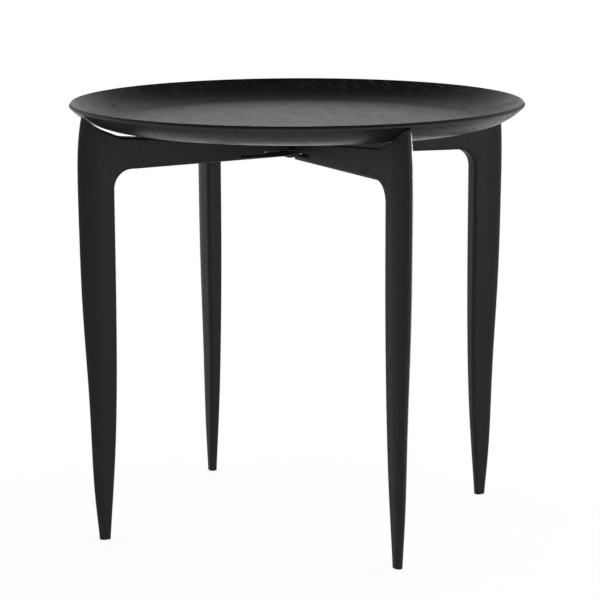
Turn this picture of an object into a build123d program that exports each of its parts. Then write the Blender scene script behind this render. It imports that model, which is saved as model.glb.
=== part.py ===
from build123d import *
import math
import os

# Folding tray table: a round tray that lifts off four legs, whose arms fold together on crossed straps.
# Millimetres, +Z up, origin on the floor under the middle of the tray. Front is -Y.

# Tray: a flat floor, and a wall that curves up and out to a bevelled rim
TRAY_R = 225.0
TRAY_TOP_Z = 425.3
TRAY_THICKNESS = 4.0
TRAY_UNDERSIDE_Z = 402.5
TRAY_FLOOR_R = 180.0
TRAY_WALL_RADIUS = 62.0
RIM_ROUNDING = 0.7

# Spread of the frame: the angle between the two back legs, seen from above
SPREAD_DEG = 93.3
HALF_SPREAD = SPREAD_DEG / 2

# Legs, whose outer edge bulges at the shoulder and runs in to a slim foot
LEG_THICKNESS = 17.0
FOOT_THICKNESS = 8.2
SHAFT_STATIONS = [
    # height, outer edge, share of the full thickness
    (0.0, 213.6, 0.00),
    (34.0, 216.8, 0.17),
    (95.0, 220.1, 0.46),
    (205.0, 225.4, 0.84),
    (300.0, 228.7, 1.00),
    (360.0, 229.4, 1.00),
    (398.0, 227.8, 1.00),
    (412.0, 225.9, 1.00),
    (426.0, 222.8, 1.00),
]
NOSE_SHARE = 0.62
NOSE_SHARE_AT_SOLE = 0.28
FOOT_INNER_R = 202.8
CALF_INNER_R = 196.6
CALF_Z = 95.0
SHIN_INNER_R = 194.2
SHIN_Z = 215.0
ELBOW_INNER_R = 194.4
ELBOW_RADIUS = 18.5

# Horn that stands round the tray's wall
HORN_TIP_Z = 418.3
CRADLE_START_R = 182.0
CRADLE_POINTS = [(195.0, 401.8), (206.0, 406.4)]
CRADLE_END_DIRECTION = (0.73, 0.68)

# Arms
JOINT_R = 170.0
ARM_THICKNESS = 17.0
ARM_BOTTOM_Z = 367.0
ARM_JOINT_TOP_Z = 397.0
ARM_END_TOP_Z = 384.0
MITRE_SIDE_R = 12.0
HUB_CLEARANCE_R = 7.5
EDGE_ROUNDING = 3.2
TOP_ROUNDING = 2.5
SOLE_ROUNDING = 0.8

# Dowels of the glue joint between leg and arm
DOWEL_R = 4.0
DOWEL_LENGTH = 36.0
DOWEL_Z = (376.0, 389.0)

# Slots and hinge straps
SLOT_FLOOR_Z = 372.0
SLOT_CEILING_Z = 376.5
SLOT_END_PAST_PIN = 7.5
STRAP_WIDTH = 11.0
STRAP_THICKNESS = 1.5
LOWER_STRAP_Z = 372.6
UPPER_STRAP_Z = 374.6
RUNNING_GAP = 0.05
AXIAL_GAP = 0.1

# Each strap carries two opposite arms: strap's underside, distance of its pins, direction of the strap,
# rise of its arms' underside towards the middle, and radius of its legs' horn tips
STRAPS = {
    "lower": {"z": LOWER_STRAP_Z, "pin_r": 56.0, "turn": 90 - HALF_SPREAD, "rise": 3.7, "horn_tip_r": 223.1},
    "upper": {"z": UPPER_STRAP_Z, "pin_r": 36.0, "turn": 90 + HALF_SPREAD, "rise": 0.0, "horn_tip_r": 223.6},
}

# Each leg's direction from the middle, and the strap that its arm hangs on
LEGS = {
    "back_right": (90 - HALF_SPREAD, "lower"),
    "back_left": (90 + HALF_SPREAD, "upper"),
    "front_left": (270 - HALF_SPREAD, "lower"),
    "front_right": (270 + HALF_SPREAD, "upper"),
}

# Rivet at the middle, with its washer
RIVET_R = 3.0
RIVET_HEAD_R = 5.0
RIVET_HEAD_HEIGHT = 1.6
RIVET_RIM_HEIGHT = 0.6
WASHER_R = 5.2

# Pins that hold the arms on the straps, with their spacers
ARM_PIN_R = 2.5
PIN_TOP_BELOW_ARM_TOP = 3.0
SPACER_R = 5.0
PLATE_INNER_R = 38.0
PLATE_WIDTH = 16.0

# How far cutting shapes reach past what they cut
CUT_MARGIN = 1.0
OUTSIDE_R = 240.0


def upright_cylinder(x, y, radius, bottom, top):
    """Cylinder on a vertical axis between two heights."""
    disc = Plane.XY.offset(bottom) * Pos(x, y) * Circle(radius)
    return extrude(disc, top - bottom)


def turned(outline):
    """Solid of revolution from an outline in radius and height."""
    return revolve(Plane.XZ * make_face(outline), Axis.Z)


def side_plate(outline, half_thickness):
    """Solid from an outline in radius and height, as thick to each side of the middle plane."""
    return extrude(Plane.XZ * make_face(outline), half_thickness, both=True)


def make_tray():
    """Dish turned from one section: flat floor, curved flared wall and a bevelled rim."""
    wall_centre_z = TRAY_UNDERSIDE_Z + TRAY_WALL_RADIUS
    inner_radius = TRAY_WALL_RADIUS - TRAY_THICKNESS
    outer_turn = math.asin((TRAY_R - TRAY_FLOOR_R) / TRAY_WALL_RADIUS)
    inner_turn = math.acos((wall_centre_z - TRAY_TOP_Z) / inner_radius)

    def wall_point(radius, turn):
        return (TRAY_FLOOR_R + radius * math.sin(turn), wall_centre_z - radius * math.cos(turn))

    floor_z = TRAY_UNDERSIDE_Z + TRAY_THICKNESS
    bottom = Line((0, TRAY_UNDERSIDE_Z), (TRAY_FLOOR_R, TRAY_UNDERSIDE_Z))
    outer = ThreePointArc(
        bottom @ 1,
        wall_point(TRAY_WALL_RADIUS, outer_turn / 2),
        wall_point(TRAY_WALL_RADIUS, outer_turn),
    )
    inner = ThreePointArc(
        wall_point(inner_radius, inner_turn),
        wall_point(inner_radius, inner_turn / 2),
        (TRAY_FLOOR_R, floor_z),
    )
    rim = Line(outer @ 1, inner @ 0)
    floor = Line(inner @ 1, (0, floor_z))
    centre = Line(floor @ 1, bottom @ 0)
    tray = turned([bottom, outer, rim, inner, floor, centre])
    rim_edges = tray.edges().filter_by(GeomType.CIRCLE).sort_by(Axis.Z)[-2:]
    return fillet(rim_edges, RIM_ROUNDING)


def leg_section(height, outer_r, share):
    """Level section of a leg: straight sides that end in a half-ellipse nose."""
    half = (FOOT_THICKNESS + (LEG_THICKNESS - FOOT_THICKNESS) * share) / 2
    back_r = JOINT_R - CUT_MARGIN
    nose_share = NOSE_SHARE_AT_SOLE + (NOSE_SHARE - NOSE_SHARE_AT_SOLE) * share
    nose_length = nose_share * (outer_r - SHIN_INNER_R)
    nose_start = outer_r - nose_length
    nose = EllipticalCenterArc((nose_start, 0), nose_length, half, start_angle=-90, arc_size=180)
    left = Line((nose_start, half), (back_r, half))
    back = Line((back_r, half), (back_r, -half))
    right = Line((back_r, -half), (nose_start, -half))
    return Plane.XY.offset(height) * make_face([nose, left, back, right])


def arm_top_at(radius):
    """Height of an arm's top face at a distance from the middle."""
    return ARM_END_TOP_Z + (ARM_JOINT_TOP_Z - ARM_END_TOP_Z) * radius / JOINT_R


def arm_bottom_at(radius, rise):
    """Height of an arm's underside at a distance from the middle."""
    return ARM_BOTTOM_Z + rise * (1 - radius / JOINT_R)


def leg_side_outline(horn_tip_r):
    """Outline of a leg seen from the side, open beyond the nose, which the level sections shape."""
    elbow_z = ARM_BOTTOM_Z - ELBOW_RADIUS
    elbow_start = ELBOW_INNER_R - ELBOW_RADIUS
    inner_edge = Spline(
        (FOOT_INNER_R, 0),
        (CALF_INNER_R, CALF_Z),
        (SHIN_INNER_R, SHIN_Z),
        (ELBOW_INNER_R, elbow_z),
        tangents=[(CALF_INNER_R - FOOT_INNER_R, CALF_Z), (0, 1)],
    )
    elbow = TangentArc((ELBOW_INNER_R, elbow_z), (elbow_start, ARM_BOTTOM_Z), tangent=(0, 1))
    underside = Line((elbow_start, ARM_BOTTOM_Z), (JOINT_R, ARM_BOTTOM_Z))
    joint = Line((JOINT_R, ARM_BOTTOM_Z), (JOINT_R, ARM_JOINT_TOP_Z))
    cradle_start = (CRADLE_START_R, arm_top_at(CRADLE_START_R))
    top = Line((JOINT_R, ARM_JOINT_TOP_Z), cradle_start)
    cradle = Spline(
        cradle_start,
        *CRADLE_POINTS,
        (horn_tip_r, HORN_TIP_Z),
        tangents=[top % 1, CRADLE_END_DIRECTION],
    )
    tip = Line((horn_tip_r, HORN_TIP_Z), (OUTSIDE_R, HORN_TIP_Z))
    outside = Line((OUTSIDE_R, HORN_TIP_Z), (OUTSIDE_R, 0))
    sole = Line((OUTSIDE_R, 0), (FOOT_INNER_R, 0))
    return [inner_edge, elbow, underside, joint, top, cradle, tip, outside, sole]


def make_dowels():
    """The two dowels across the glue joint, half in the leg and half in the arm."""
    dowels = []
    for height in DOWEL_Z:
        start = Plane((JOINT_R - DOWEL_LENGTH / 2, 0, height), z_dir=(1, 0, 0))
        dowels.append(extrude(start * Circle(DOWEL_R), DOWEL_LENGTH))
    return dowels


def is_inner_edge(edge):
    """Long edges of the shaft's inner side, the elbow and its underside."""
    box = edge.bounding_box()
    inward = JOINT_R + CUT_MARGIN < box.max.X < FOOT_INNER_R + CUT_MARGIN
    low = edge.center().Z < ARM_BOTTOM_Z + CUT_MARGIN
    at_side = abs(edge.center().Y) > FOOT_THICKNESS / 2 - CUT_MARGIN
    return inward and low and at_side and edge.length > FOOT_THICKNESS / 2


def is_top_edge(edge):
    """Long edges of the top and the cradle, at the sides."""
    box = edge.bounding_box()
    high = box.min.Z > ARM_JOINT_TOP_Z - CUT_MARGIN
    lengthwise = box.max.X - box.min.X > CUT_MARGIN
    return high and lengthwise and box.max.X < OUTSIDE_R - CUT_MARGIN


def is_sole_edge(edge):
    """Edges round the flat sole."""
    return edge.bounding_box().max.Z < RUNNING_GAP


def make_leg(horn_tip_r):
    """Leg on the +X side: shaft, elbow and horn in one piece of wood."""
    blank = loft([leg_section(*station) for station in SHAFT_STATIONS])
    plate = side_plate(leg_side_outline(horn_tip_r), LEG_THICKNESS / 2)
    plate = fillet(plate.edges().filter_by(is_top_edge), TOP_ROUNDING)
    leg = blank & plate
    leg = fillet(leg.edges().filter_by(is_inner_edge), EDGE_ROUNDING)
    leg = fillet(leg.edges().filter_by(is_sole_edge), SOLE_ROUNDING)
    for dowel in make_dowels():
        leg -= dowel
    return leg


def arm_side_outline(rise):
    """Outline of an arm seen from the side, from the joint to the middle of the table."""
    corners = [
        (JOINT_R, ARM_BOTTOM_Z),
        (0, arm_bottom_at(0, rise)),
        (0, ARM_END_TOP_Z),
        (JOINT_R, ARM_JOINT_TOP_Z),
    ]
    return Polyline(*corners, close=True)


def is_underside_edge(edge):
    """Long lower edges of an arm."""
    return edge.length > JOINT_R / 2 and edge.center().Z < SLOT_FLOOR_Z


def is_ridge_edge(edge):
    """Long upper edges of an arm."""
    return edge.length > JOINT_R / 2 and edge.center().Z > SLOT_CEILING_Z


def make_mitre_block():
    """Block that an arm is trimmed to: its inner end is a point between the two neighbouring arms."""
    half = ARM_THICKNESS / 2 + CUT_MARGIN
    tip_r = MITRE_SIDE_R - half
    plan = Polyline(
        (tip_r, 0),
        (MITRE_SIDE_R, half),
        (JOINT_R, half),
        (JOINT_R, -half),
        (MITRE_SIDE_R, -half),
        close=True,
    )
    bottom = ARM_BOTTOM_Z - CUT_MARGIN
    return extrude(Plane.XY.offset(bottom) * make_face(plan), ARM_JOINT_TOP_Z + CUT_MARGIN - bottom)


def make_arm(pin_r, rise):
    """Arm on the +X side, with a mitred inner end, a slot for its strap and a hole for its pin."""
    arm = side_plate(arm_side_outline(rise), ARM_THICKNESS / 2)
    arm = fillet(arm.edges().filter_by(is_underside_edge), EDGE_ROUNDING)
    arm = fillet(arm.edges().filter_by(is_ridge_edge), TOP_ROUNDING)
    arm &= make_mitre_block()
    below = ARM_BOTTOM_Z - CUT_MARGIN
    arm -= upright_cylinder(0, 0, HUB_CLEARANCE_R, below, ARM_JOINT_TOP_Z)
    slot_end = pin_r + SLOT_END_PAST_PIN
    slot_middle = Pos(slot_end / 2, 0, (SLOT_FLOOR_Z + SLOT_CEILING_Z) / 2)
    arm -= slot_middle * Box(slot_end, 2 * ARM_THICKNESS, SLOT_CEILING_Z - SLOT_FLOOR_Z)
    arm -= upright_cylinder(pin_r, 0, ARM_PIN_R, below, pin_top(pin_r))
    for dowel in make_dowels():
        arm -= dowel
    return arm


def pin_top(pin_r):
    """Height at which an arm's pin ends, below the arm's top face."""
    return arm_top_at(pin_r) - PIN_TOP_BELOW_ARM_TOP


def make_arm_pin(pin_r, rise):
    """Pin driven up into the arm from below, flush with the underside."""
    return upright_cylinder(pin_r, 0, ARM_PIN_R, arm_bottom_at(pin_r, rise), pin_top(pin_r))


def make_spacer(strap):
    """Packing round an arm's pin: a plate in the slot above a lower strap, or a ring below an upper one."""
    pin_r = STRAPS[strap]["pin_r"]
    if strap == "lower":
        bottom = LOWER_STRAP_Z + STRAP_THICKNESS + AXIAL_GAP
        top = SLOT_CEILING_Z
        length = pin_r + SLOT_END_PAST_PIN - PLATE_INNER_R
        middle = Pos(PLATE_INNER_R + length / 2, 0, (bottom + top) / 2)
        packing = middle * Box(length, PLATE_WIDTH, top - bottom)
    else:
        bottom = SLOT_FLOOR_Z
        top = UPPER_STRAP_Z - AXIAL_GAP
        packing = upright_cylinder(pin_r, 0, SPACER_R, bottom, top)
    return packing - upright_cylinder(pin_r, 0, ARM_PIN_R, bottom - CUT_MARGIN, top + CUT_MARGIN)


def make_strap(strap):
    """Flat steel strap with round ends, a hole at the middle and one at each end."""
    pin_r = STRAPS[strap]["pin_r"]
    outline = SlotCenterToCenter(2 * pin_r, STRAP_WIDTH)
    middle_hole_r = RIVET_R if strap == "lower" else RIVET_R + RUNNING_GAP
    outline -= Circle(middle_hole_r)
    for side in (-1, 1):
        outline -= Pos(side * pin_r, 0) * Circle(ARM_PIN_R + RUNNING_GAP)
    return extrude(Plane.XY.offset(STRAPS[strap]["z"]) * outline, STRAP_THICKNESS)


def rivet_head(base_z, direction):
    """Low domed head that stands off a strap, up or down."""
    rim_z = base_z + direction * RIVET_RIM_HEIGHT
    crown = (0, base_z + direction * RIVET_HEAD_HEIGHT)
    foot = Line((0, base_z), (RIVET_HEAD_R, base_z))
    rim = Line((RIVET_HEAD_R, base_z), (RIVET_HEAD_R, rim_z))
    dome = TangentArc(crown, (RIVET_HEAD_R, rim_z), tangent=(1, 0))
    axis_line = Line(crown, (0, base_z))
    return turned([foot, rim, dome, axis_line])


def make_rivet():
    """Rivet through both straps, tight in the lower one and free in the upper one."""
    upper_seat = UPPER_STRAP_Z + STRAP_THICKNESS + AXIAL_GAP
    shank = upright_cylinder(0, 0, RIVET_R, LOWER_STRAP_Z, upper_seat)
    return shank + rivet_head(LOWER_STRAP_Z, -1) + rivet_head(upper_seat, 1)


def make_washer():
    """Thin washer between the straps."""
    bottom = LOWER_STRAP_Z + STRAP_THICKNESS
    top = UPPER_STRAP_Z - AXIAL_GAP
    hole = upright_cylinder(0, 0, RIVET_R, bottom - CUT_MARGIN, top + CUT_MARGIN)
    return upright_cylinder(0, 0, WASHER_R, bottom, top) - hole


def export_node(shape, node):
    """One file for each node, with loose solids grouped."""
    export_step(shape, f"parts/{node}.step")


os.makedirs("parts", exist_ok=True)
export_node(make_tray(), "tray")
export_node(make_rivet(), "centre_rivet")
export_node(make_washer(), "centre_washer")
for strap, details in STRAPS.items():
    export_node(Rot(0, 0, details["turn"]) * make_strap(strap), f"{strap}_strap")
for leg_name, (direction, strap) in LEGS.items():
    pin_r = STRAPS[strap]["pin_r"]
    rise = STRAPS[strap]["rise"]
    turn = Rot(0, 0, direction)
    dowel_solids = [Solid(dowel.wrapped) for dowel in make_dowels()]
    export_node(turn * make_leg(STRAPS[strap]["horn_tip_r"]), f"leg_{leg_name}")
    export_node(turn * make_arm(pin_r, rise), f"arm_{leg_name}")
    export_node(turn * Compound(children=dowel_solids), f"dowels_{leg_name}")
    export_node(turn * make_arm_pin(pin_r, rise), f"arm_pin_{leg_name}")
    export_node(turn * make_spacer(strap), f"spacer_{leg_name}")
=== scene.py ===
import math

import bpy
from mathutils import Matrix, Vector


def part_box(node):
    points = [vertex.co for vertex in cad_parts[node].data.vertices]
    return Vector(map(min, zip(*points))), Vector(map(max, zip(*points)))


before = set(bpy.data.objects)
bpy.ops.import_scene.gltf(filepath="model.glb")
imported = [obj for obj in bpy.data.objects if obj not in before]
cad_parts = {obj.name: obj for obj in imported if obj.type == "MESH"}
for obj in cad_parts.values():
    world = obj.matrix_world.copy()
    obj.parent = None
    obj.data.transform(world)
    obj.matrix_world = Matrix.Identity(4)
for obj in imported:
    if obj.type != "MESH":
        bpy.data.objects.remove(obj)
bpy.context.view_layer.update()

LEG_NAMES = ("back_right", "back_left", "front_left", "front_right")
LEG_ALONG_STRAP = {"lower": "back_right", "upper": "back_left"}
MM_PER_M = 1000.0

# Camera: a long lens a little above the tray, turned from the table's front towards its right
CAMERA_TURN = math.radians(19.785)
CAMERA_DISTANCE = 2.449
CAMERA_HEIGHT = 0.6865
CAMERA_PAN = math.radians(0.055)
CAMERA_PITCH = math.radians(-10.70)
CAMERA_ROLL = math.radians(-0.169)
CAMERA_LENS = 148.98
CAMERA_SENSOR = 36.0
CAMERA_REACH = 60.0

# Surround: its light in each direction, where rise and depth are parts of a direction of length 1
SURROUND_COLOUR = (1.0, 0.993, 0.965, 1.0)
SURROUND_LIGHT = 1.0
CEILING_LIGHT = 0.10
CEILING_FADE = (0.18, 0.70)
FRONT_LIGHT = 0.35
FRONT_FADE = (-0.9, 0.3)
FLOOR_LIGHT = 0.36
FLOOR_FADE = (0.62, 0.93)
HORIZON_FADE = (-0.06, 0.06)

# Lamps: places are measured from the camera's side of the table, targets along the table's own axes
FRONT_BOX = {"place": (1.8, -1.7, 0.30), "target": (0.0, 0.0, 0.25), "size": (1.2, 1.0), "power": 6}
STRIP = {"place": (1.54, 1.43, 0.55), "target": (0.16, -0.15, 0.40), "size": (0.35, 0.7), "power": 70}
STRIP_LIT_LEG = "leg_front_right"

# Floor
FLOOR_RADIUS = 30.0
FLOOR_SIDES = 48
FLOOR_COLOUR = (0.80, 0.80, 0.80, 1.0)
FLOOR_GLOW_COLOUR = (1.0, 1.0, 1.0, 1.0)
FLOOR_GLOW = 0.82
FLOOR_ROUGHNESS = 0.9
FLOOR_SPECULAR = 0.1

# Tray, in millimetres: the ring that its wall curves round, and the wall's two faces about it
WALL_RING_R = 180.0
WALL_OUTER_FACE = 62.0
WALL_INNER_FACE = 58.0
FACE_MARGIN = 0.5
FACE_FADE = 0.1
RIM_CORNER = (1.0, 0.3)
PLY = 0.57
GLUE_LINE = (0.2 * PLY, 0.5 * PLY)

# Finish of the wood: stain and the tones made from it
STAIN = (0.0080, 0.0079, 0.0075)
# Tone of rubbed stain, also used as the painted highlight round the tray rim's outer corner
WORN_AND_HIGHLIGHT_TONE = (0.040, 0.033, 0.025)
PALE_BAND = 1.25
DARK_BAND = 0.70
PALE_MOTTLE = 1.5
MOTTLE_SHARE = 0.5
GREY_PORE = 9.0
BLACK_PORE = 0.2
DARK_PLY = 0.5
PALE_PLY = 1.1

# Grain of the wood, in cells per millimetre across the grain; a stretch below 1 lengthens it along the grain
PORE_STRETCH = 0.10
BAND_STRETCH = 0.012
LARGE_PORES = {"scale": 0.40, "width": 0.40}
SMALL_PORES = {"scale": 0.70, "width": 0.32}
PORE_CORE = 0.5
SMALL_PORE_SHARE = 0.35
PORES_BETWEEN_BANDS = 0.45
BANDS = {"scale": 0.16, "detail": 3.0, "roughness": 0.6, "distortion": 0.5}
BAND_RANGE = (0.40, 0.62)
MOTTLE = {"scale": 0.45, "detail": 4.0, "roughness": 0.75}
MOTTLE_TONE_RANGE = (0.35, 0.70)
MOTTLE_SATIN_RANGE = (0.25, 0.75)
SATIN_SWING = 0.08
PORE_ROUGHNESS = 0.22
FIBRE_HEIGHT = 0.30

# Grain of each piece
TOP_GRAIN = math.radians(-33.0)
UNDERSIDE_GRAIN = math.radians(77.0)
UNDERSIDE_SHIFT = 90.0
TOP_ROUGHNESS = 0.36
UNDERSIDE_ROUGHNESS = 0.34
RIM_ROUGHNESS = 0.52
FRAME_CONTRAST = 0.12
FRAME_ROUGHNESS = 0.46
SHIFT_PER_PIECE = 137.0

# Wear of the stain, and a painted highlight along the tray rim's outer corner; heights in millimetres below
# the horn's tip and above the floor
WEAR_PATCHES = {"scale": 0.35, "detail": 4.0, "roughness": 0.7}
WEAR_RANGE = (0.50, 0.68)
WEAR_SHARE = 0.6
WEAR_ROUGHNESS = 0.12
HORN_WEAR = (3.8, 0.3)
FOOT_WEAR = 3.0
RIM_WEAR_AND_HIGHLIGHT_SHARE = 0.8

# Bare beech of the dowels
BEECH_DARK = (0.42, 0.27, 0.15)
BEECH_PALE = (0.52, 0.35, 0.21)
FLECK = (0.24, 0.13, 0.07)
FLECKS = {"scale": 3.0, "detail": 2.0, "roughness": 0.6}
FLECK_STRETCH = 0.12
FLECK_RANGE = (0.58, 0.70)
FLECK_SHARE = 0.6
BEECH_TONE = {"scale": 0.8, "detail": 3.0, "roughness": 0.5}
BEECH_STRETCH = 0.05
BEECH_ROUGHNESS = (0.55, 0.70)

# Steel, coated black
STRAP_BLACK = (0.012, 0.012, 0.0115)
PIN_BLACK = (0.020, 0.020, 0.0195)
STRAP_STRETCH = 0.02
PIN_STRETCH = 0.5
ROLLED_LINES = {"scale": 6.0, "detail": 3.0, "roughness": 0.7}
DARK_LINE = 0.75
RUBBED_PATCHES = {"scale": 0.35, "detail": 3.0, "roughness": 0.6}
RUBBED_RANGE = (0.56, 0.74)
RUBBED_TONE = 2.2
RUBBED_SHARE = 0.5
STEEL_ROUGHNESS = (0.46, 0.60)
EVEN_RANGE = (0.2, 0.8)

# Relief, with its depth in metres, and reflection of each finish
FRAME_RELIEF = {"depth": 0.00008, "strength": 0.20, "specular": 0.40}
TRAY_RELIEF = {"depth": 0.00020, "strength": 0.8, "specular": 0.45}
BEECH_RELIEF = {"depth": 0.00005, "strength": 0.5, "specular": 0.5}
STEEL_RELIEF = {"depth": 0.00004, "strength": 0.4, "specular": 0.35}


def add_object(name, data):
    """Links a new object for a datablock."""
    obj = bpy.data.objects.new(name, data)
    bpy.context.scene.collection.objects.link(obj)
    return obj


def make_camera():
    """Camera at the height, turn and tilt given above."""
    data = bpy.data.cameras.new("camera")
    data.lens = CAMERA_LENS
    data.sensor_width = CAMERA_SENSOR
    data.clip_end = CAMERA_REACH
    camera = add_object("camera", data)
    forward = Vector((
        math.sin(CAMERA_PAN) * math.cos(CAMERA_PITCH),
        math.cos(CAMERA_PAN) * math.cos(CAMERA_PITCH),
        math.sin(CAMERA_PITCH),
    ))
    right = Vector((math.cos(CAMERA_PAN), -math.sin(CAMERA_PAN), 0.0))
    up = right.cross(forward)
    tilted_right = right * math.cos(CAMERA_ROLL) + up * math.sin(CAMERA_ROLL)
    tilted_up = up * math.cos(CAMERA_ROLL) - right * math.sin(CAMERA_ROLL)
    axes = Matrix((tilted_right, tilted_up, -forward)).transposed().to_4x4()
    turn = Matrix.Rotation(CAMERA_TURN, 4, "Z")
    camera.matrix_world = turn @ Matrix.Translation((0, -CAMERA_DISTANCE, CAMERA_HEIGHT)) @ axes
    bpy.context.scene.camera = camera


# ---------------------------------------------------------------- nodes

# Places of a mix node's sockets, which share their names
MIX_VALUES = (2, 3)
MIX_VALUE_OUT = 0
MIX_COLOURS = (6, 7)
MIX_COLOUR_OUT = 2


class Nodes:
    """Small helper that adds to a node tree."""

    def __init__(self, tree):
        self.tree = tree

    def add(self, kind, settings=None, **inputs):
        node = self.tree.nodes.new(kind)
        for key, value in (settings or {}).items():
            setattr(node, key, value)
        for key, value in inputs.items():
            self.plug(node.inputs[key.replace("_", " ")], value)
        return node

    def plug(self, socket, value):
        if isinstance(value, bpy.types.NodeSocket):
            self.tree.links.new(value, socket)
        else:
            socket.default_value = value

    def math(self, operation, a, b=0.0, clamp=False):
        node = self.tree.nodes.new("ShaderNodeMath")
        node.operation = operation
        node.use_clamp = clamp
        self.plug(node.inputs[0], a)
        self.plug(node.inputs[1], b)
        return node.outputs[0]

    def between(self, value, low, high, to_low=0.0, to_high=1.0, smooth=False):
        """A value's way from low to high, held at both ends."""
        node = self.tree.nodes.new("ShaderNodeMapRange")
        node.clamp = True
        node.interpolation_type = "SMOOTHSTEP" if smooth else "LINEAR"
        for key, setting in zip(("Value", "From Min", "From Max", "To Min", "To Max"),
                                (value, low, high, to_low, to_high)):
            self.plug(node.inputs[key], setting)
        return node.outputs["Result"]

    def mix_colour(self, share, first, second):
        node = self.tree.nodes.new("ShaderNodeMix")
        node.data_type = "RGBA"
        self.plug(node.inputs["Factor"], share)
        for place, colour in zip(MIX_COLOURS, (first, second)):
            is_socket = isinstance(colour, bpy.types.NodeSocket)
            self.plug(node.inputs[place], colour if is_socket else (*colour, 1.0))
        return node.outputs[MIX_COLOUR_OUT]

    def mix_value(self, share, first, second):
        node = self.tree.nodes.new("ShaderNodeMix")
        self.plug(node.inputs["Factor"], share)
        for place, value in zip(MIX_VALUES, (first, second)):
            self.plug(node.inputs[place], value)
        return node.outputs[MIX_VALUE_OUT]

    def noise(self, vector, scale, detail, roughness, distortion=0.0):
        node = self.add("ShaderNodeTexNoise", {"noise_dimensions": "3D"}, Vector=vector, Scale=scale,
                        Detail=detail, Roughness=roughness, Distortion=distortion)
        return node.outputs["Fac"]

    def dashes(self, vector, scale, width):
        """Short strokes scattered one to a cell: 1 along the middle of a stroke and 0 outside it."""
        node = self.add("ShaderNodeTexVoronoi", {"feature": "F1"}, Vector=vector, Scale=scale)
        return self.between(node.outputs["Distance"], PORE_CORE * width, width, 1.0, 0.0)

    def grain_place(self, turn, grain_axis="X", stretch=1.0, shift=0.0, pressed=False):
        """Place in millimetres, turned about Z, squeezed along the grain and shifted from piece to piece.

        A pressed sheet keeps the pattern that it had when it lay flat, whatever its height is now."""
        place = self.add("ShaderNodeTexCoord").outputs["Object"]
        turned = self.add("ShaderNodeMapping", {"vector_type": "POINT"}, Vector=place,
                          Rotation=(0.0, 0.0, -turn)).outputs["Vector"]
        scale = [MM_PER_M] * 3
        scale["XYZ".index(grain_axis)] *= stretch
        if pressed:
            scale[2] = 0.0
        return self.add("ShaderNodeMapping", {"vector_type": "POINT"}, Vector=turned, Scale=scale,
                        Location=(shift, shift, shift)).outputs["Vector"]

    def axes(self, vector):
        node = self.add("ShaderNodeSeparateXYZ", Vector=vector)
        return [node.outputs[axis] for axis in "XYZ"]

    def length(self, a, b):
        """Length of the long side of a right triangle."""
        squares = self.math("ADD", self.math("POWER", a, 2.0), self.math("POWER", b, 2.0))
        return self.math("SQRT", squares)


class Finish(Nodes):
    """A material with its shader."""

    def __init__(self, name):
        self.material = bpy.data.materials.new(name)
        self.material.use_nodes = True
        super().__init__(self.material.node_tree)
        self.shader = self.tree.nodes["Principled BSDF"]

    def surface(self, colour, roughness, height, depth, strength, specular):
        """Colour, roughness, relief and reflection."""
        self.plug(self.shader.inputs["Base Color"], colour)
        self.plug(self.shader.inputs["Roughness"], roughness)
        bump = self.add("ShaderNodeBump", Strength=strength, Distance=depth, Height=height)
        self.plug(self.shader.inputs["Normal"], bump.outputs["Normal"])
        self.plug(self.shader.inputs["Specular IOR Level"], specular)
        return self.material


# ---------------------------------------------------------------- light and floor

def area_light(name, place, target, size, power):
    """Soft box that faces a point, unseen by the camera; its place is turned with the camera."""
    data = bpy.data.lights.new(name, "AREA")
    data.shape = "RECTANGLE"
    data.size = size[0]
    data.size_y = size[1]
    data.energy = power
    light = add_object(name, data)
    light.location = Matrix.Rotation(CAMERA_TURN, 3, "Z") @ Vector(place)
    light.rotation_euler = (Vector(target) - light.location).to_track_quat("-Z", "Y").to_euler()
    light.visible_camera = False
    return light


def make_surround():
    """World that the camera sees as white, and the wood as darker above, in front and below."""
    scene = bpy.context.scene
    scene.view_settings.view_transform = "Standard"
    world = bpy.data.worlds.new("studio")
    world.use_nodes = True
    scene.world = world
    nodes = Nodes(world.node_tree)
    direction = nodes.add("ShaderNodeTexCoord").outputs["Generated"]
    turned = nodes.add("ShaderNodeMapping", {"vector_type": "POINT"}, Vector=direction,
                       Rotation=(0.0, 0.0, -CAMERA_TURN)).outputs["Vector"]
    depth, rise = nodes.axes(turned)[1:]
    ceiling = nodes.between(rise, *CEILING_FADE, SURROUND_LIGHT, CEILING_LIGHT, smooth=True)
    front = nodes.between(depth, *FRONT_FADE, FRONT_LIGHT, SURROUND_LIGHT, smooth=True)
    above = nodes.math("MULTIPLY", ceiling, front)
    below = nodes.between(depth, *FLOOR_FADE, FLOOR_LIGHT, SURROUND_LIGHT, smooth=True)
    mirrored = nodes.mix_value(nodes.between(rise, *HORIZON_FADE), below, above)
    seen = nodes.add("ShaderNodeLightPath").outputs["Is Camera Ray"]
    background = world.node_tree.nodes["Background"]
    nodes.plug(background.inputs["Strength"], nodes.mix_value(seen, mirrored, SURROUND_LIGHT))
    nodes.plug(background.inputs["Color"], SURROUND_COLOUR)


def make_lamps():
    """A soft box in front, and a strip that is flagged off all but one leg."""
    area_light("front_light", **FRONT_BOX)
    strip = area_light("strip_light", **STRIP)
    lit_leg = bpy.data.collections.new("lit_by_strip")
    lit_leg.objects.link(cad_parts[STRIP_LIT_LEG])
    strip.light_linking.receiver_collection = lit_leg


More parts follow.
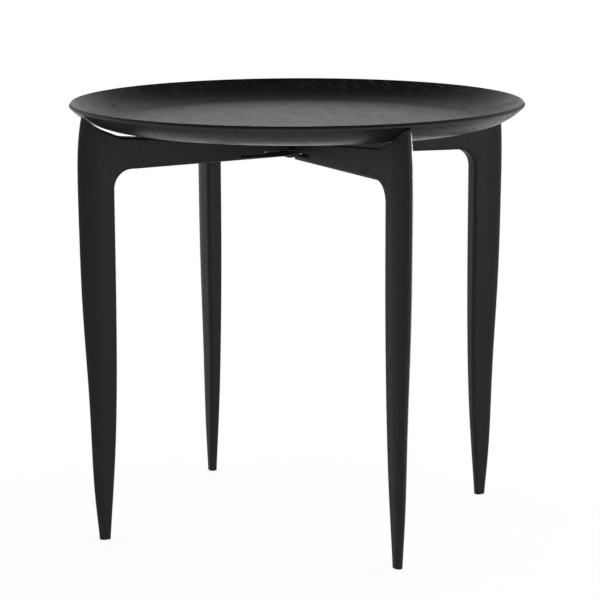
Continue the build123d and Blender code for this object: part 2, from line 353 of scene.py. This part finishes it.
def make_floor():
    """Large pale floor, lit from within like a light table, so that shadows on it stay faint."""
    mesh = bpy.data.meshes.new("floor")
    ring = []
    for side in range(FLOOR_SIDES):
        angle = 2 * math.pi * side / FLOOR_SIDES
        ring.append((FLOOR_RADIUS * math.cos(angle), FLOOR_RADIUS * math.sin(angle), 0.0))
    mesh.from_pydata(ring, [], [tuple(range(FLOOR_SIDES))])
    floor = add_object("floor", mesh)
    paint = Finish("floor_paint")
    shader = paint.shader
    shader.inputs["Base Color"].default_value = FLOOR_COLOUR
    shader.inputs["Roughness"].default_value = FLOOR_ROUGHNESS
    shader.inputs["Specular IOR Level"].default_value = FLOOR_SPECULAR
    shader.inputs["Emission Color"].default_value = FLOOR_GLOW_COLOUR
    shader.inputs["Emission Strength"].default_value = FLOOR_GLOW
    mesh.materials.append(paint.material)
    floor.visible_glossy = False


# ---------------------------------------------------------------- wood

def tint(colour, share):
    """A colour made darker or lighter by a share."""
    return tuple(channel * share for channel in colour)


def oak_grain(nodes, turn, grain_axis, shift, roughness, contrast=1.0, pore_tone=GREY_PORE, pressed=False):
    """Black-stained open-grain oak: growth bands, short pores, fine fibre and a satin coat.

    Gives the colour, the roughness and the height of the surface."""
    pore_place = nodes.grain_place(turn, grain_axis, PORE_STRETCH, shift, pressed)
    band_place = nodes.grain_place(turn, grain_axis, BAND_STRETCH, shift, pressed)
    even_place = nodes.grain_place(turn, grain_axis, 1.0, shift)
    dense = nodes.between(nodes.noise(band_place, **BANDS), *BAND_RANGE)
    mottle = nodes.noise(even_place, **MOTTLE)
    in_bands = nodes.between(dense, 0.0, 1.0, PORES_BETWEEN_BANDS, 1.0)
    large = nodes.math("MULTIPLY", nodes.dashes(pore_place, **LARGE_PORES), in_bands)
    small = nodes.math("MULTIPLY", nodes.dashes(pore_place, **SMALL_PORES), SMALL_PORE_SHARE)
    pores = nodes.math("ADD", large, small, clamp=True)
    dark_bands = nodes.math("MULTIPLY", dense, contrast)
    wood = nodes.mix_colour(dark_bands, tint(STAIN, PALE_BAND), tint(STAIN, DARK_BAND))
    pale_mottle = nodes.between(mottle, *MOTTLE_TONE_RANGE, 0.0, MOTTLE_SHARE)
    wood = nodes.mix_colour(pale_mottle, wood, tint(STAIN, PALE_MOTTLE))
    colour = nodes.mix_colour(nodes.math("MULTIPLY", pores, contrast), wood, tint(STAIN, pore_tone))
    satin = nodes.between(mottle, *MOTTLE_SATIN_RANGE, roughness - SATIN_SWING, roughness + SATIN_SWING)
    rough = nodes.math("ADD", satin, nodes.math("MULTIPLY", pores, PORE_ROUGHNESS))
    height = nodes.math("SUBTRACT", nodes.math("MULTIPLY", mottle, FIBRE_HEIGHT), pores)
    return colour, rough, height


def worn_edge(nodes, colour, rough, edge, place):
    """Stain rubbed thin in patches where a mask says that an edge is."""
    patches = nodes.between(nodes.noise(place, **WEAR_PATCHES), *WEAR_RANGE)
    wear = nodes.math("MULTIPLY", edge, patches)
    worn = nodes.mix_colour(nodes.math("MULTIPLY", wear, WEAR_SHARE), colour, WORN_AND_HIGHLIGHT_TONE)
    return worn, nodes.math("ADD", rough, nodes.math("MULTIPLY", wear, WEAR_ROUGHNESS))


def frame_oak(name, turn, grain_axis, shift, horn_tip):
    """Solid oak of a leg or an arm, with wear at the horn's tip and round the foot."""
    finish = Finish(name)
    colour, rough, height = oak_grain(finish, turn, grain_axis, shift, FRAME_ROUGHNESS, FRAME_CONTRAST)
    place = finish.grain_place(turn)
    rise = finish.axes(place)[2]
    tip = finish.between(rise, horn_tip - HORN_WEAR[0], horn_tip - HORN_WEAR[1])
    foot = finish.between(rise, 0.0, FOOT_WEAR, 1.0, 0.0)
    colour, rough = worn_edge(finish, colour, rough, finish.math("ADD", tip, foot), place)
    return finish.surface(colour, rough, height, **FRAME_RELIEF)


def tray_oak():
    """Moulded plywood: oak veneers on both faces with their grain crossed, and stained plies at the rim."""
    finish = Finish("oak_tray")
    low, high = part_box("tray")
    ring_z = low.z * MM_PER_M + WALL_OUTER_FACE
    rim_r = high.x * MM_PER_M
    x, y, z = finish.axes(finish.grain_place(0.0))
    radius = finish.length(x, y)
    out = finish.math("MAXIMUM", finish.math("SUBTRACT", radius, WALL_RING_R), 0.0)
    shell = finish.length(out, finish.math("SUBTRACT", z, ring_z))
    top = oak_grain(finish, TOP_GRAIN, "X", 0.0, TOP_ROUGHNESS, pressed=True)
    under = oak_grain(finish, UNDERSIDE_GRAIN, "X", UNDERSIDE_SHIFT, UNDERSIDE_ROUGHNESS,
                      pore_tone=BLACK_PORE, pressed=True)
    is_under = finish.math("GREATER_THAN", shell, (WALL_INNER_FACE + WALL_OUTER_FACE) / 2)
    colour = finish.mix_colour(is_under, top[0], under[0])
    rough = finish.mix_value(is_under, top[1], under[1])
    height = finish.mix_value(is_under, top[2], under[2])
    inner = WALL_INNER_FACE + FACE_MARGIN
    outer = WALL_OUTER_FACE - FACE_MARGIN
    past_inner = finish.between(shell, inner, inner + FACE_FADE)
    before_outer = finish.between(shell, outer - FACE_FADE, outer, 1.0, 0.0)
    is_edge = finish.math("MULTIPLY", past_inner, before_outer)
    ply = finish.math("PINGPONG", finish.math("SUBTRACT", shell, WALL_INNER_FACE), PLY)
    plies = finish.mix_colour(finish.between(ply, *GLUE_LINE), tint(STAIN, DARK_PLY), tint(STAIN, PALE_PLY))
    colour = finish.mix_colour(is_edge, colour, plies)
    rough = finish.mix_value(is_edge, rough, RIM_ROUGHNESS)
    # Lighter line round the rim's outer corner: partly rubbed stain, partly a painted highlight where the
    # rounded corner catches the light
    corner = finish.between(radius, rim_r - RIM_CORNER[0], rim_r - RIM_CORNER[1])
    colour = finish.mix_colour(finish.math("MULTIPLY", corner, RIM_WEAR_AND_HIGHLIGHT_SHARE), colour, WORN_AND_HIGHLIGHT_TONE)
    return finish.surface(colour, rough, height, **TRAY_RELIEF)


def bare_beech(name, turn):
    """Unstained beech of a dowel: pale pink-brown with short dark flecks along it."""
    finish = Finish(name)
    fleck_place = finish.grain_place(turn, "X", FLECK_STRETCH)
    flecks = finish.between(finish.noise(fleck_place, **FLECKS), *FLECK_RANGE)
    tone = finish.noise(finish.grain_place(turn, "X", BEECH_STRETCH), **BEECH_TONE)
    wood = finish.mix_colour(tone, BEECH_DARK, BEECH_PALE)
    colour = finish.mix_colour(finish.math("MULTIPLY", flecks, FLECK_SHARE), wood, FLECK)
    rough = finish.between(tone, *EVEN_RANGE, *BEECH_ROUGHNESS)
    return finish.surface(colour, rough, flecks, **BEECH_RELIEF)


# ---------------------------------------------------------------- steel

def dark_steel(name, turn, base, stretch):
    """Black-coated steel with fine lines from rolling or turning, and a few rubbed patches."""
    finish = Finish(name)
    lines = finish.noise(finish.grain_place(turn, "X", stretch), **ROLLED_LINES)
    rubbed = finish.between(finish.noise(finish.grain_place(turn), **RUBBED_PATCHES), *RUBBED_RANGE)
    tone = finish.mix_colour(lines, tint(base, DARK_LINE), base)
    colour = finish.mix_colour(finish.math("MULTIPLY", rubbed, RUBBED_SHARE), tone, tint(base, RUBBED_TONE))
    rough = finish.between(lines, *EVEN_RANGE, *STEEL_ROUGHNESS)
    return finish.surface(colour, rough, lines, **STEEL_RELIEF)


def assign(node, material):
    """A node of the frame takes one material all over."""
    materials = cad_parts[node].data.materials
    materials.clear()
    materials.append(material)


def leg_direction(leg_name):
    """Angle from +X of an arm, from the middle of the table to its leg."""
    low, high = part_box(f"leg_{leg_name}")
    middle = (low + high) / 2
    return math.atan2(middle.y, middle.x)


def finish_hinge():
    """Black steel for the straps, and for the pins, spacers, rivet and washer."""
    pin_steel = dark_steel("pin_steel", 0.0, PIN_BLACK, PIN_STRETCH)
    for node in ("centre_rivet", "centre_washer"):
        assign(node, pin_steel)
    for leg_name in LEG_NAMES:
        assign(f"arm_pin_{leg_name}", pin_steel)
        assign(f"spacer_{leg_name}", pin_steel)
    for strap, leg_name in LEG_ALONG_STRAP.items():
        steel = dark_steel(f"{strap}_strap_steel", leg_direction(leg_name), STRAP_BLACK, STRAP_STRETCH)
        assign(f"{strap}_strap", steel)


def finish_wood():
    """Stained oak for the legs, arms and tray, and bare beech for the dowels."""
    for number, leg_name in enumerate(LEG_NAMES):
        turn = leg_direction(leg_name)
        shift = SHIFT_PER_PIECE * number
        horn_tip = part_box(f"leg_{leg_name}")[1].z * MM_PER_M
        assign(f"leg_{leg_name}", frame_oak(f"oak_leg_{leg_name}", turn, "Z", shift, horn_tip))
        assign(f"arm_{leg_name}", frame_oak(f"oak_arm_{leg_name}", turn, "X", shift, horn_tip))
        assign(f"dowels_{leg_name}", bare_beech(f"beech_{leg_name}", turn))
    assign("tray", tray_oak())


make_camera()
make_surround()
make_lamps()
make_floor()
finish_hinge()
finish_wood()
